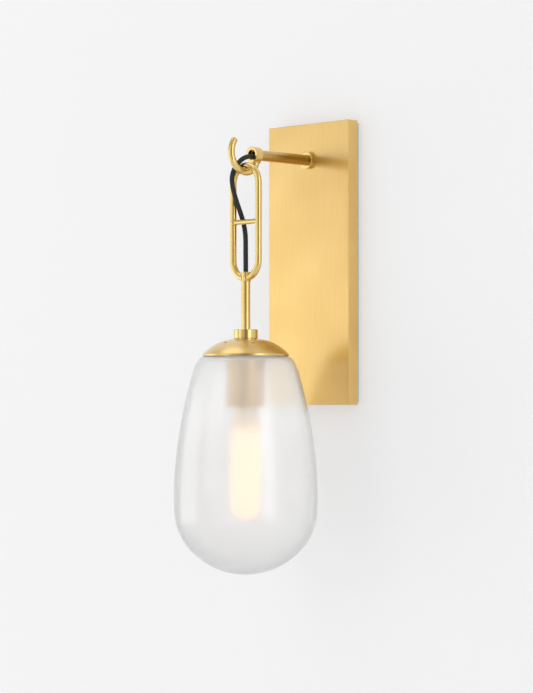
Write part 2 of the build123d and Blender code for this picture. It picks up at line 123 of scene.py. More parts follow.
# An outline in (radius, height) whose corners are (radius, height, rounding). A rounded corner is an arc that touches
# both sides, with one more point beside each end so that the long sides shade flat.
def roundOutline(corners, steps=6):
    lines = []
    for i, (radius, height, rounding) in enumerate(corners):
        here = np.array((radius, height), float)
        if rounding <= 0:
            lines.append(here[None])
            continue
        before = np.array(corners[i - 1][:2], float) - here
        after = np.array(corners[(i + 1) % len(corners)][:2], float) - here
        before, after = before / np.linalg.norm(before), after / np.linalg.norm(after)
        half = np.arccos(before @ after) / 2
        middle = here + (before + after) / np.linalg.norm(before + after) * rounding / np.sin(half)
        start, end = here + before * rounding / np.tan(half), here + after * rounding / np.tan(half)
        turn = pi - 2 * half
        share = np.linspace(0, 1, steps + 1)[:, None]
        arc = (np.sin((1 - share) * turn) * (start - middle) + np.sin(share * turn) * (end - middle)) / np.sin(turn)
        support = 0.4 * rounding
        lines += [(start + before * support)[None], middle + arc, (end + after * support)[None]]
    return np.vstack(lines)


# Adds points to a closed outline so that no side is longer than step: each side is divided evenly.
def divideOutline(outline, step):
    ends = np.roll(outline, -1, 0)
    counts = np.maximum(np.ceil(np.linalg.norm(ends - outline, axis=1) / step).astype(int), 1)
    share = np.concatenate([np.arange(c) / c for c in counts])[:, None]
    return np.repeat(outline, counts, 0) * (1 - share) + np.repeat(ends, counts, 0) * share


# A turned piece: each outline point (radius, height) goes round an axis. Pendant pieces turn about its upright line,
# and arm pieces about the arm's level line, where height is the distance from the wall.
def turned(name, outline, about="pendant", segments=96, closed=True, relief=None):
    angle = np.linspace(0, 2 * pi, segments, endpoint=False)[None, :]
    radius, height = outline[:, :1] + 0 * angle, outline[:, 1:2] + 0 * angle
    if relief:
        radius = radius + relief(radius, height, angle)
    if about == "pendant":
        points = np.stack([radius * np.cos(angle), radius * np.sin(angle) - places["pendantOut"], height], -1)
    else:
        points = np.stack([radius * np.cos(angle), -height, radius * np.sin(angle) + places["armHeight"]], -1)
    return gridPiece(name, points, closeRows=closed)


# Rings carried along a path: each ring lies square to the path, and side, a direction never along the path, keeps the
# rings from twisting. The ends are rounded by edge and close in a pole. shape may move the points.
def roundWire(name, path, radius, side, edge, step, segments=48, shape=None, extras=None):
    along = np.concatenate([[0], np.cumsum(np.linalg.norm(np.diff(path, axis=0), axis=1))])
    heading = np.gradient(path, along, axis=0)
    bend = np.linspace(0, pi / 2, 6)
    reach, size = edge * (1 - np.cos(bend)), radius - edge + edge * np.sin(bend)
    middle = np.linspace(edge, along[-1] - edge, max(int(along[-1] / step), 3))[1:-1]
    station = np.concatenate([[0], reach, middle, along[-1] - reach[::-1], [along[-1]]])
    size = np.concatenate([[0], size, np.full(len(middle), radius), size[::-1], [0]])
    centre = np.stack([np.interp(station, along, path[:, i]) for i in range(3)], -1)
    heading = np.stack([np.interp(station, along, heading[:, i]) for i in range(3)], -1)
    heading /= np.linalg.norm(heading, axis=1, keepdims=True)
    first = np.array(side, float) - (heading @ np.array(side, float))[:, None] * heading
    first /= np.linalg.norm(first, axis=1, keepdims=True)
    second = np.cross(heading, first)
    angle = np.linspace(0, 2 * pi, segments, endpoint=False)[None, :, None]
    outward = first[:, None] * np.cos(angle) + second[:, None] * np.sin(angle)
    points = centre[:, None] + outward * size[:, None, None]
    if shape:
        points = shape(points, outward, station[:, None], angle[:, :, 0], size[:, None])
    values = extras(station[:, None], angle[:, :, 0]) if extras else None
    return gridPiece(name, points, extras=values)


# An arc in a plane, by its middle, its radius and its first and last angle in degrees.
def arcPoints(middle, radius, first, last, step=0.4):
    angle = np.radians(np.linspace(first, last, max(int(abs(radians(last - first)) * radius / step), 8)))
    return np.stack([middle[0] + radius * np.cos(angle), middle[1] + radius * np.sin(angle)], -1)


# Brazing leaves a hollow fillet: where the gap to the other piece is under size, the wire swells by
# size - sqrt(size² - (size - gap)²).
def brazeSwell(gap, size):
    reach = np.clip(size - gap, 0, size)
    return size - np.sqrt(np.maximum(size ** 2 - reach ** 2, 0))


# Points that reach into a hollow tube are moved out to the middle of its wall, straight away from its axis.
def keepInWall(points, across, middle, wallMiddle):
    offset = points[..., across] - np.array(middle)
    distance = np.linalg.norm(offset, axis=-1, keepdims=True)
    points = points.copy()
    points[..., across] = np.where(
        distance < wallMiddle, np.array(middle) + offset * wallMiddle / np.maximum(distance, 1e-6), points[..., across]
    )
    return points


# Hands a piece its material and body, and hides the CAD nodes that it stands for.
def place(piece, material, body, slot, *stoodFor):
    piece.data.materials.clear()
    piece.data.materials.append(material)
    if body:
        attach(piece, body)
    if stoodFor:
        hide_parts(*stoodFor)
    return piece


# Camera: at the photograph's angle, 45.2 degrees to the right of the plate's face and a little below the arm.
view = {"place": (1.7909, -1.8599, -0.1524), "turn": 45.2, "pitch": 1.41, "lens": 123.3}
cameraData = bpy.data.cameras.new("photoCamera")
cameraData.lens, cameraData.sensor_width, cameraData.sensor_fit = view["lens"], 36.0, "AUTO"
cameraData.clip_start, cameraData.clip_end = 0.05, 60.0
camera = bpy.data.objects.new("photoCamera", cameraData)
camera.location = view["place"]
camera.rotation_euler = (radians(90 + view["pitch"]), 0, radians(view["turn"]))
bpy.context.scene.collection.objects.link(camera)
bpy.context.scene.camera = camera

# Cord: black fabric-braided flex, from the arm's mouth round the link's crossbar and into the stem.
cordFacts = {
    "diameter": 5.2,
    "length": 146.3,
    "carriers": 9,      # strands that run each way round
    "lay": 17.0,        # mm of cord for one full turn of a strand
    "relief": 0.16,     # mm from the top of a strand to the crevice
    "under": 0.45,      # how much of its height a strand loses where it passes under
    "edge": 0.05,
    "step": 0.34,
    "segments": 96,
    "route": [
        (0.0, -0.0981, 0.1111),
        (0.0, -0.1068, 0.1111),
        (-0.0031, -0.1152, 0.1076),
        (-0.0072, -0.1208, 0.0992),
        (-0.0109, -0.1224, 0.0896),
        (-0.0124, -0.1201, 0.0796),
        (-0.0125, -0.1167, 0.0696),
        (-0.0120, -0.1126, 0.0596),
        (-0.0112, -0.1084, 0.0496),
        (-0.0096, -0.1058, 0.0396),
        (-0.0069, -0.1062, 0.0296),
        (-0.0039, -0.1086, 0.0196),
        (-0.0015, -0.1110, 0.0096),
        (0.0, -0.1123, -0.0019),
        (0.0, -0.1123, -0.0132),
    ],
}


# The points of a smooth NURBS line through the route, read back from Blender in order.
def routeLine(route):
    curve = bpy.data.curves.new("cordRoute", "CURVE")
    curve.dimensions, curve.resolution_u = "3D", 24
    spline = curve.splines.new("NURBS")
    spline.points.add(len(route) - 1)
    spline.points.foreach_set("co", np.hstack([np.array(route), np.ones((len(route), 1))]).ravel())
    spline.order_u = 3
    spline.use_endpoint_u = True
    holder = bpy.data.objects.new("cordRoute", curve)
    mesh = bpy.data.meshes.new_from_object(holder)
    line = np.zeros(len(mesh.vertices) * 3, np.float32)
    mesh.vertices.foreach_get("co", line)
    bpy.data.objects.remove(holder)
    bpy.data.curves.remove(curve)
    bpy.data.meshes.remove(mesh)
    return line.reshape(-1, 3).astype(float)


# The braid: two families of strands wind opposite ways, each with a rounded back, cos² of half its phase, and each
# passes over the other by turns.
def braidHeight(station, angle):
    turn = 2 * pi * station / cordFacts["lay"]
    left, right = cordFacts["carriers"] * (angle - turn), cordFacts["carriers"] * (angle + turn)
    over = 0.5 + 0.5 * np.cos(cordFacts["carriers"] * angle)
    low, under = 1 - cordFacts["under"], cordFacts["under"]
    return np.maximum(np.cos(left / 2) ** 2 * (low + under * over), np.cos(right / 2) ** 2 * (low + under * (1 - over)))


def cordShape(points, outward, station, angle, size):
    depth = np.minimum(size, 1) * cordFacts["relief"] * (1 - braidHeight(station, angle))
    return points - outward * depth[:, :, None]


def cordExtras(station, angle):
    return {"weave": braidHeight(station, angle)}


cordLine = routeLine(cordFacts["route"])
cordPiece = roundWire("hangingCord", cordLine / mm, cordFacts["diameter"] / 2, (1, 0, 0), cordFacts["edge"],
                      cordFacts["step"], segments=cordFacts["segments"], shape=cordShape, extras=cordExtras)
print("camera and cord made")

# Hook: brass wire bent round below and open above, brazed under the arm's end collar. Each of its two arcs is given by
# its middle (y, z), its radius, and its first and last angle. Only what is past inArm from the wall's side is kept in
# the tube's wall, and noTube is a gap too wide for a fillet, where the tube has ended.
hookFacts = {
    "wire": 3.5, "edge": 0.5, "braze": 1.3, "brazeFrom": 3.0, "step": 0.5, "segments": 56,
    "outer": (-112.3, 114.1, 21.0, 141.0, 270.0),
    "back": (-112.3, 109.1, 16.0, 270.0, 359.0),
    "inArm": -102.0, "wallMiddle": 5.0, "noTube": 100.0,
}


def hookShape(points, outward, station, angle, size):
    out, rise = points[..., 1], points[..., 2] - places["armHeight"]
    distance = np.hypot(points[..., 0], rise)
    overEnd = np.maximum(-places["collarFront"] - out, out + places["collarBack"])
    toCollar = np.hypot(np.maximum(distance - places["collarRadius"], 0), np.maximum(overEnd, 0))
    toTube = np.maximum(distance - places["armRadius"], 0) + hookFacts["noTube"] * (out < -places["armEnd"])
    swell = brazeSwell(np.minimum(toCollar, toTube), hookFacts["braze"]) * (size > hookFacts["brazeFrom"])
    moved = points + outward * swell[..., None]
    inWall = keepInWall(moved, [0, 2], (0.0, places["armHeight"]), hookFacts["wallMiddle"])
    return np.where(points[..., 1:2] > hookFacts["inArm"], inWall, moved)


hookPath = np.vstack([arcPoints(hookFacts["outer"][:2], *hookFacts["outer"][2:])[:-1],
                      arcPoints(hookFacts["back"][:2], *hookFacts["back"][2:])])
hookPath = np.hstack([np.zeros((len(hookPath), 1)), hookPath])
hookPiece = roundWire("hookWire", hookPath, hookFacts["wire"], (1, 0, 0), hookFacts["edge"], hookFacts["step"],
                      segments=hookFacts["segments"], shape=hookShape)

# Link: one rod bent into a long loop, both ends coped and brazed to the stem. brazeOver and copeOver say how far above
# the stem's top the fillet and the coped ends reach.
linkFacts = {"wire": 3.5, "reach": 19.0, "upper": 81.4, "lower": 0.4, "endAngle": 6.0, "legPoints": 120,
             "edge": 0.2, "step": 0.5, "segments": 56, "braze": 1.4, "brazeFrom": 3.0, "brazeOver": 0.5,
             "copeOver": 2.0, "wallMiddle": 4.0}


def linkShape(points, outward, station, angle, size):
    distance = np.hypot(points[..., 0], points[..., 1] + places["pendantOut"])
    nearStem = (points[..., 2] < places["stemTop"] + linkFacts["brazeOver"]) & (size > linkFacts["brazeFrom"])
    swell = brazeSwell(np.maximum(distance - places["stemRadius"], 0), linkFacts["braze"]) * nearStem
    moved = points + outward * swell[..., None]
    inWall = keepInWall(moved, [0, 1], (0.0, -places["pendantOut"]), linkFacts["wallMiddle"])
    return np.where(moved[..., 2:] < places["stemTop"] + linkFacts["copeOver"], inWall, moved)


reach, lower, upper, endAngle = (linkFacts[k] for k in ("reach", "lower", "upper", "endAngle"))
legHeights = np.linspace(lower, upper, linkFacts["legPoints"])[1:-1]
linkPath = np.vstack([
    arcPoints((0, lower), reach, endAngle - 90, 0),
    np.stack([np.full_like(legHeights, reach), legHeights], -1),
    arcPoints((0, upper), reach, 0, 180),
    np.stack([np.full_like(legHeights, -reach), legHeights[::-1]], -1),
    arcPoints((0, lower), reach, 180, 270 - endAngle),
])
linkPath = np.stack([linkPath[:, 0], np.full(len(linkPath), -places["pendantOut"]), linkPath[:, 1]], -1)
linkPiece = roundWire("linkRod", linkPath, linkFacts["wire"], (0, 1, 0), linkFacts["edge"], linkFacts["step"],
                      segments=linkFacts["segments"], shape=linkShape)

# Crossbar: a thinner bar brazed between the link's legs, whose ends stop short of the legs' middles.
barFacts = {"wire": 2.7, "height": 40.9, "short": 0.6, "points": 60, "edge": 0.2, "step": 0.3, "segments": 40,
            "braze": 1.1, "brazeFrom": 2.2}


def barShape(points, outward, station, angle, size):
    toLeg = np.hypot(np.abs(points[..., 0]) - reach, points[..., 1] + places["pendantOut"]) - linkFacts["wire"]
    swell = brazeSwell(np.maximum(toLeg, 0), barFacts["braze"]) * (size > barFacts["brazeFrom"])
    return points + outward * swell[..., None]


barEnd = reach - barFacts["short"]
barPath = np.full((barFacts["points"], 3), (0.0, -places["pendantOut"], barFacts["height"]))
barPath[:, 0] = np.linspace(-barEnd, barEnd, barFacts["points"])
barPiece = roundWire("linkCrossbar", barPath, barFacts["wire"], (0, 1, 0), barFacts["edge"], barFacts["step"],
                     segments=barFacts["segments"], shape=barShape)

# Arm: a tube through the plate, a flange on the plate, and a collar with a fine groove at the mouth. Lengths are
# distances from the wall.
armFacts = {"bore": 4.25, "from": 8.8, "step": 4.0, "segments": 96}
armPiece = turned("armTube", divideOutline(roundOutline([
    (armFacts["bore"], armFacts["from"], 0.2), (armFacts["bore"], places["armEnd"], 0.3),
    (places["armRadius"], places["armEnd"], 0.3), (places["armRadius"], armFacts["from"], 0.3),
]), armFacts["step"]), about="arm", segments=armFacts["segments"])
flangeFacts = {"hole": 5.8, "radius": 9.5, "back": 17.8, "front": 22.0, "segments": 128}
flangePiece = turned("armFlange", roundOutline([
    (flangeFacts["hole"], flangeFacts["back"], 0), (flangeFacts["radius"], flangeFacts["back"], 0.15),
    (flangeFacts["radius"], flangeFacts["front"], 0.7), (flangeFacts["hole"], flangeFacts["front"], 0.15),
]), about="arm", segments=flangeFacts["segments"])
collarFacts = {"hole": 5.8, "bore": 5.15, "edge": 0.5, "groove": (101.6, 101.68, 101.82, 101.9), "grooveDepth": 0.18,
               "segments": 128}
collarRadius, grooveRadius = places["collarRadius"], places["collarRadius"] - collarFacts["grooveDepth"]
grooveRadii = (collarRadius, grooveRadius, grooveRadius, collarRadius)
collarPiece = turned("endCollar", roundOutline([
    (collarFacts["hole"], places["collarBack"], 0), (collarRadius, places["collarBack"], collarFacts["edge"]),
    *[(radius, out, 0) for radius, out in zip(grooveRadii, collarFacts["groove"])],
    (collarRadius, places["collarFront"], collarFacts["edge"]),
    (collarFacts["bore"], places["collarFront"], collarFacts["edge"]),
    (collarFacts["bore"], places["armEnd"], 0), (collarFacts["hole"], places["armEnd"], 0),
]), about="arm", segments=collarFacts["segments"])

# Stem: a tube whose hidden lower end, below plainLow, carries a thread. Points lie close for the thread, and where the
# wall is plain only one in keepOne stays.
stemFacts = {"bore": 3.25, "low": -106.07, "pitch": 1.0, "threadTop": -84.5, "threadStart": 1.0, "threadDepth": 0.45,
             "plainLow": -84.0, "wallMiddle": 4.0, "fineStep": 0.2, "keepOne": 12, "plainWall": (-83.5, -13.0),
             "plainBore": (-104.0, -14.0), "segments": 96}


# The thread: the wall sinks by its depth times (1 - cos(2 pi height/pitch - angle)) / 2.
def stemThread(radius, height, angle):
    cut = np.clip((stemFacts["threadTop"] - height) / stemFacts["threadStart"], 0, 1)
    turns = 2 * pi * height / stemFacts["pitch"] - angle
    return -stemFacts["threadDepth"] * (0.5 - 0.5 * np.cos(turns)) * cut * (radius > stemFacts["wallMiddle"])


def isBetween(values, ends):
    return (values > ends[0]) & (values < ends[1])


fineStem = divideOutline(roundOutline([
    (stemFacts["bore"], stemFacts["low"], 0.2), (stemFacts["bore"], places["stemTop"], 0.3),
    (places["stemRadius"], places["stemTop"], 0.3), (places["stemRadius"], stemFacts["plainLow"], 0),
    (places["stemRadius"], stemFacts["low"], 0.2),
]), stemFacts["fineStep"])
plain = (fineStem[:, 0] < stemFacts["wallMiddle"]) & isBetween(fineStem[:, 1], stemFacts["plainBore"])
plain = plain | isBetween(fineStem[:, 1], stemFacts["plainWall"])
spare = plain & (np.arange(len(fineStem)) % stemFacts["keepOne"] > 0)
stemPiece = turned("stemTube", fineStem[~spare], segments=stemFacts["segments"], relief=stemThread)

# Stem collar: a turned nut that sits on the dome, with a smaller foot.
nutFacts = {"hole": 4.85, "radius": 12.75, "low": -82.5, "top": -72.9, "foot": 12.15, "footTop": -82.15,
            "seatTop": -82.05, "segments": 128}
stemCollarPiece = turned("stemCollar", roundOutline([
    (nutFacts["hole"], nutFacts["low"], 0), (nutFacts["foot"], nutFacts["low"], 0),
    (nutFacts["foot"], nutFacts["footTop"], 0), (nutFacts["radius"], nutFacts["seatTop"], 0.2),
    (nutFacts["radius"], nutFacts["top"], 0.6), (nutFacts["hole"], nutFacts["top"], 0.2),
]), segments=nutFacts["segments"])
print("hook, link, arm and stem made")


# One arc of a chain in (radius, height): it leaves start along heading and ends at finish. The turn is twice the angle
# between heading and the chord, and the radius is chord² / (2 chord·normal).
def tangentArc(start, heading, finish, step=1.0):
    chord = np.array(finish) - start
    normal = np.array((-heading[1], heading[0]))
    turn = 2 * atan2(chord @ normal, chord @ heading)
    radius = chord @ chord / (2 * chord @ normal)
    middle = start + radius * normal
    share = np.linspace(0, turn, max(int(abs(radius * turn) / step), 6))[1:, None]
    spoke = start - middle
    arc = middle + np.cos(share) * spoke + np.sin(share) * np.array((-spoke[1], spoke[0]))
    return arc, np.array((heading[0] * cos(turn) - heading[1] * sin(turn),
                          heading[0] * sin(turn) + heading[1] * cos(turn)))


# A wall of even thickness inside an outline that starts on the axis: each inner point is one wall along the normal, and
# lip is how many points round the open end.
def wallOutline(outer, wall, lip):
    heading = np.gradient(outer, axis=0)
    heading /= np.linalg.norm(heading, axis=1, keepdims=True)
    inner = outer + wall * np.stack([-heading[:, 1], heading[:, 0]], -1)
    inner[0, 0] = 0
    end, turn = (outer[-1] + inner[-1]) / 2, np.linspace(0, pi, lip + 2)[1:-1, None]
    rim = end + (outer[-1] - end) * np.cos(turn) + heading[-1] * wall / 2 * np.sin(turn)
    return np.vstack([outer, rim, inner[::-1]])


# Glass shade: blown etched glass, egg-shaped, whose neck goes up inside the dome. Its arcs meet at the joints.
shadeFacts = {"low": -330.62, "wall": 3.0, "joints": [(58.3, -305.02), (75.2, -264.62), (74.8, -224.72),
              (56.45, -119.82), (50.8, -106.02), (43.5, -101.32)], "rootRadius": 3.0, "rootStep": 0.4, "neck": 29.0,
              "top": -101.32, "neckTop": -92.82, "crestStart": 42.5, "crestPoints": 12, "neckStart": 0.5,
              "neckPoints": 8, "lipPoints": 8, "segments": 176}
shadeTop, neckRadius = shadeFacts["top"], shadeFacts["neck"]
corner, heading = np.array((0.0, shadeFacts["low"])), np.array((1.0, 0.0))
shadeOuter = [corner[None]]
for joint in shadeFacts["joints"]:
    arc, heading = tangentArc(corner, heading, joint)
    shadeOuter.append(arc)
    corner = arc[-1]
rootOut, rootTop = neckRadius + shadeFacts["rootRadius"], shadeTop + shadeFacts["rootRadius"]
crest = np.linspace(shadeFacts["crestStart"], rootOut, shadeFacts["crestPoints"])
arc, heading = tangentArc(np.array((rootOut, shadeTop)), np.array((-1.0, 0.0)), (neckRadius, rootTop),
                          shadeFacts["rootStep"])
neckSide = np.linspace(rootTop + shadeFacts["neckStart"], shadeFacts["neckTop"] - shadeFacts["wall"] / 2,
                       shadeFacts["neckPoints"])
shadeOuter += [np.stack([crest, np.full_like(crest, shadeTop)], -1), arc,
               np.stack([np.full_like(neckSide, neckRadius), neckSide], -1)]
shadePiece = turned("glassShade", wallOutline(np.vstack(shadeOuter), shadeFacts["wall"], shadeFacts["lipPoints"]),
                    segments=shadeFacts["segments"], closed=False)

# Bulb: a long tubular lamp with a coated envelope. Its side runs straight between the round end and an S-shaped taper.
bulbFacts = {"low": -273.62, "radius": 15.75, "neck": 12.0, "taper": 22.0, "seal": -147.12, "wall": 0.8,
             "sideInset": 2.0, "neckInset": 1.2, "sealInset": 0.4, "endPoints": 28, "sidePoints": 24, "neckPoints": 6,
             "lipPoints": 4, "segments": 112}
bulbRadius, taperLow = bulbFacts["radius"], places["cupLow"] - bulbFacts["taper"]
ease = np.linspace(0, 1, bulbFacts["sidePoints"])
roundEnd = np.radians(np.linspace(-90, 0, bulbFacts["endPoints"]))
side = np.linspace(bulbFacts["low"] + bulbRadius + bulbFacts["sideInset"], taperLow - bulbFacts["sideInset"],
                   bulbFacts["sidePoints"])
neckSide = np.linspace(places["cupLow"] + bulbFacts["neckInset"], bulbFacts["seal"] - bulbFacts["sealInset"],
                       bulbFacts["neckPoints"])
bulbOuter = np.vstack([
    np.stack([bulbRadius * np.cos(roundEnd), bulbFacts["low"] + bulbRadius * (1 + np.sin(roundEnd))], -1),
    np.stack([np.full_like(side, bulbRadius), side], -1),
    np.stack([bulbRadius - (bulbRadius - bulbFacts["neck"]) * ease ** 2 * (3 - 2 * ease),
              places["cupLow"] - bulbFacts["taper"] * (1 - ease)], -1),
    np.stack([np.full_like(neckSide, bulbFacts["neck"]), neckSide], -1),
])
bulbOuter[0, 0] = 0
bulbPiece = turned("bulbGlass", wallOutline(bulbOuter, bulbFacts["wall"], bulbFacts["lipPoints"]),
                   segments=bulbFacts["segments"], closed=False)

# Screw thread of the bulb's base and the lampholder's shell: it lies between two heights and fades in over fade.
threadFacts = {"low": -153.6, "high": -137.0, "fade": 1.5, "pitch": 3.63, "step": 0.3, "segments": 112}


# A rolled thread: the wall outside the radius least sinks by depth times (1 - cos(2 pi height/pitch - angle)) / 2.
def rolledThread(least, depth):
    low, high, fade = threadFacts["low"], threadFacts["high"], threadFacts["fade"]

    def relief(radius, height, angle):
        inside = np.clip((height - low) / fade, 0, 1) * np.clip((high - height) / fade, 0, 1) * (radius > least)
        return -depth * (0.5 - 0.5 * np.cos(2 * pi * height / threadFacts["pitch"] - angle)) * inside
    return relief


# Bulb base: a thin rolled cap, open at the top for the insulator.
baseFacts = {"radius": 13.1, "inside": 12.6, "top": -135.12, "topInside": -135.62, "hole": 4.75, "threadFrom": 11.5,
             "threadDepth": 0.55}
basePiece = turned("bulbBase", divideOutline(roundOutline([
    (baseFacts["inside"], places["cupLow"], 0), (baseFacts["radius"], places["cupLow"], 0.2),
    (baseFacts["radius"], baseFacts["top"], 1.2), (baseFacts["hole"], baseFacts["top"], 0),
    (baseFacts["hole"], baseFacts["topInside"], 0), (baseFacts["inside"], baseFacts["topInside"], 0.7),
]), threadFacts["step"]), segments=threadFacts["segments"],
    relief=rolledThread(baseFacts["threadFrom"], baseFacts["threadDepth"]))

# Screw shell: the thin threaded tube in the lampholder.
shellFacts = {"inside": 13.5, "radius": 14.0, "low": -153.62, "top": -135.12, "edge": 0.1, "threadFrom": 13.0,
              "threadDepth": 0.3}
shellPiece = turned("socketShell", divideOutline(roundOutline([
    (shellFacts["inside"], shellFacts["low"], shellFacts["edge"]),
    (shellFacts["radius"], shellFacts["low"], shellFacts["edge"]),
    (shellFacts["radius"], shellFacts["top"], shellFacts["edge"]),
    (shellFacts["inside"], shellFacts["top"], shellFacts["edge"]),
]), threadFacts["step"]), segments=threadFacts["segments"],
    relief=rolledThread(shellFacts["threadFrom"], shellFacts["threadDepth"]))

# Socket cup: a drawn cup, open below, with a hole in its roof for the stem.
cupFacts = {"inside": 19.25, "radius": 20.25, "top": -91.52, "topInside": -92.52, "hole": 4.85, "segments": 160}
cupPiece = turned("socketCup", roundOutline([
    (cupFacts["inside"], places["cupLow"], 0.2), (cupFacts["radius"], places["cupLow"], 0.25),
    (cupFacts["radius"], cupFacts["top"], 2.5), (cupFacts["hole"], cupFacts["top"], 0),
    (cupFacts["hole"], cupFacts["topInside"], 0), (cupFacts["inside"], cupFacts["topInside"], 1.5),
]), segments=cupFacts["segments"])
print("glass, bulb and cup made")


# Brass, satin-brushed and clear-lacquered: a warm yellow metal with fine scratches, all one way, under a skin that lays
# a paler gloss on the highlights. grain is the size of the scratch pattern along x, y and z in mm, drawn coarser than
# real scratches so that it shows, and drift is how wide the tone wanders.
brassDrift = 60.0


def brushedBrass(name, grain, bright, dark, rough, relief=0.03):
    material, tree = newMaterial(name)
    where = addNode(tree, "ShaderNodeTexCoord").outputs["Object"]
    stretch = addNode(tree, "ShaderNodeMapping", {"Vector": where, "Scale": [1 / (g * mm) for g in grain]})
    scratch = addNode(tree, "ShaderNodeTexNoise", {
        "Vector": stretch.outputs["Vector"], "Scale": 1.0, "Detail": 4.0, "Roughness": 0.62})
    drift = addNode(tree, "ShaderNodeTexNoise", {"Vector": where, "Scale": 1 / (brassDrift * mm), "Detail": 1.0})
    both = addNode(tree, "ShaderNodeMath", {0: scratch.outputs[0], 1: drift.outputs[0]}, operation="ADD")
    share = addNode(tree, "ShaderNodeMapRange", {
        "Value": both.outputs[0], "From Min": 0.7, "From Max": 1.3, "To Min": 0.0, "To Max": 1.0})
    colour = addNode(tree, "ShaderNodeMix", {
        "Factor": share.outputs[0], 6: linear(dark), 7: linear(bright)}, data_type="RGBA")
    roughness = addNode(tree, "ShaderNodeMapRange", {
        "Value": scratch.outputs[0], "From Min": 0.3, "From Max": 0.7, "To Min": rough[0], "To Max": rough[1]})
    bump = addNode(tree, "ShaderNodeBump", {"Height": scratch.outputs[0], "Strength": relief, "Distance": 0.1 * mm})
    metal = addNode(tree, "ShaderNodeBsdfPrincipled", {
        "Base Color": colour.outputs[2], "Metallic": 1.0, "Roughness": roughness.outputs[0],
        "Coat Weight": 1.0, "Coat IOR": 1.62, "Coat Roughness": 0.18, "Normal": bump.outputs[0]})
    addNode(tree, "ShaderNodeOutputMaterial", {"Surface": metal.outputs[0]})
    return material


# A plain rolled, plated or moulded surface: two tones that drift with a noise of one size in mm, and a fine relief.
def plainFinish(name, colours, size, rough, metallic=0.0, relief=0.1):
    material, tree = newMaterial(name)
    where = addNode(tree, "ShaderNodeTexCoord").outputs["Object"]
    spots = addNode(tree, "ShaderNodeTexNoise", {"Vector": where, "Scale": 1 / (size * mm), "Detail": 3.0})
    colour = addNode(tree, "ShaderNodeMix", {
        "Factor": spots.outputs[0], 6: linear(colours[0]), 7: linear(colours[1])}, data_type="RGBA")
    roughness = addNode(tree, "ShaderNodeMapRange", {
        "Value": spots.outputs[0], "From Min": 0.3, "From Max": 0.7, "To Min": rough[0], "To Max": rough[1]})
    bump = addNode(tree, "ShaderNodeBump", {"Height": spots.outputs[0], "Strength": relief, "Distance": 0.2 * mm})
    shader = addNode(tree, "ShaderNodeBsdfPrincipled", {
        "Base Color": colour.outputs[2], "Metallic": metallic, "Roughness": roughness.outputs[0],
        "Normal": bump.outputs[0]})
    addNode(tree, "ShaderNodeOutputMaterial", {"Surface": shader.outputs[0]})
    return material


# Rolled sheet, linished up and down: broad and even, with upright hairlines.
plateBrass = brushedBrass("verticallyBrushedBrass", (0.7, 60, 45), "#E6C06C", "#DAB15A", (0.32, 0.39))
# Rolled sheet drawn into a cup: the same brass, duller, and painted darker as shade for its place inside the glass.
shadedCupBrass = brushedBrass("cupBrassPaintedShade", (30, 30, 0.6), "#CAA256", "#BC944A", (0.3, 0.36))
# Turned on a lathe: rings round the upright parts, and a crisp stripe of light.
turnedBrass = brushedBrass("turnedSatinBrass", (30, 30, 0.6), "#E8CA7C", "#DBB85E", (0.22, 0.28))
# The same, with rings round the arm's level line.
armBrass = brushedBrass("armSatinBrass", (25, 0.6, 25), "#E8CA7C", "#DBB85E", (0.22, 0.28))
# Drawn tube: the same brass painted deeper in tone, as shade for the dark reflection along the arm, with lines along
# it.
shadedTubeBrass = brushedBrass("drawnTubeBrassPaintedShade", (1.2, 40, 1.2), "#CFA64A", "#BB9035", (0.24, 0.32))
# Spun sheet: rings round the dome and a wide soft shine.
domeBrass = brushedBrass("spunSatinBrass", (30, 30, 0.6), "#E1C072", "#D4AF5A", (0.29, 0.36))
# Drawn rod: smooth, with only a slow drift of tone.
wireBrass = brushedBrass("drawnSatinBrass", (3, 3, 12), "#E8CA76", "#DDBC60", (0.23, 0.27), relief=0.0)
# Steel, zinc-plated and clear-passivated: pale grey with a soft spangle.
zincSteel = plainFinish("zincPlatedSteel", ("#B9BDC0", "#D3D6D7"), 3.0, (0.35, 0.5), metallic=1.0, relief=0.15)
# Nickel-plated rolled brass, as on screw bases: brighter and a little warm.
nickelPlate = plainFinish("nickelPlatedBrass", ("#CFC9BD", "#E2DED4"), 4.0, (0.22, 0.34), metallic=1.0, relief=0.08)
# Phenolic moulding: near-black, with a dull moulded skin.
phenolic = plainFinish("mouldedPhenolic", ("#171615", "#24211F"), 0.8, (0.42, 0.58), relief=0.2)
# Vitrite, the black glass of a lamp base: glossy and almost black.
vitrite = plainFinish("vitriteGlass", ("#0F0D0C", "#1B1715"), 2.0, (0.08, 0.18), relief=0.05)
# Silicone rubber washer: milky and soft-looking.
silicone = plainFinish("siliconeRubber", ("#DAD9D4", "#EAE9E5"), 1.5, (0.45, 0.6), relief=0.1)
# Spring bronze, rolled: the reddish leaf of the lampholder.
springBronze = plainFinish("springBronze", ("#B98249", "#CF9A5D"), 1.5, (0.25, 0.4), metallic=1.0)
print("metal and moulded finishes made")

# Cotton braid over flex, dyed black: matt, with painted shade that darkens the crevices between the strands.
cottonBraid, tree = newMaterial("blackCottonBraid")
weave = addNode(tree, "ShaderNodeAttribute", attribute_name="weave")
fibre = addNode(tree, "ShaderNodeTexNoise", {
    "Vector": addNode(tree, "ShaderNodeTexCoord").outputs["Object"], "Scale": 1 / (0.35 * mm), "Detail": 2.0})
fibreLight = addNode(tree, "ShaderNodeMix", {
    "Factor": fibre.outputs[0], 6: linear("#2A2A29"), 7: linear("#3A3938")}, data_type="RGBA")
# Painted shade: where the braid height is low, the crevices are painted near black.
creviceShadeFactor = addNode(tree, "ShaderNodeMapRange", {
    "Value": weave.outputs["Fac"], "From Min": 0.15, "From Max": 0.8, "To Min": 0.0, "To Max": 1.0})
braidColourWithPaintedShade = addNode(tree, "ShaderNodeMix", {
    "Factor": creviceShadeFactor.outputs[0], 6: linear("#141414"), 7: fibreLight.outputs[2]}, data_type="RGBA")
fuzz = addNode(tree, "ShaderNodeBump", {"Height": fibre.outputs[0], "Strength": 0.4, "Distance": 0.1 * mm})
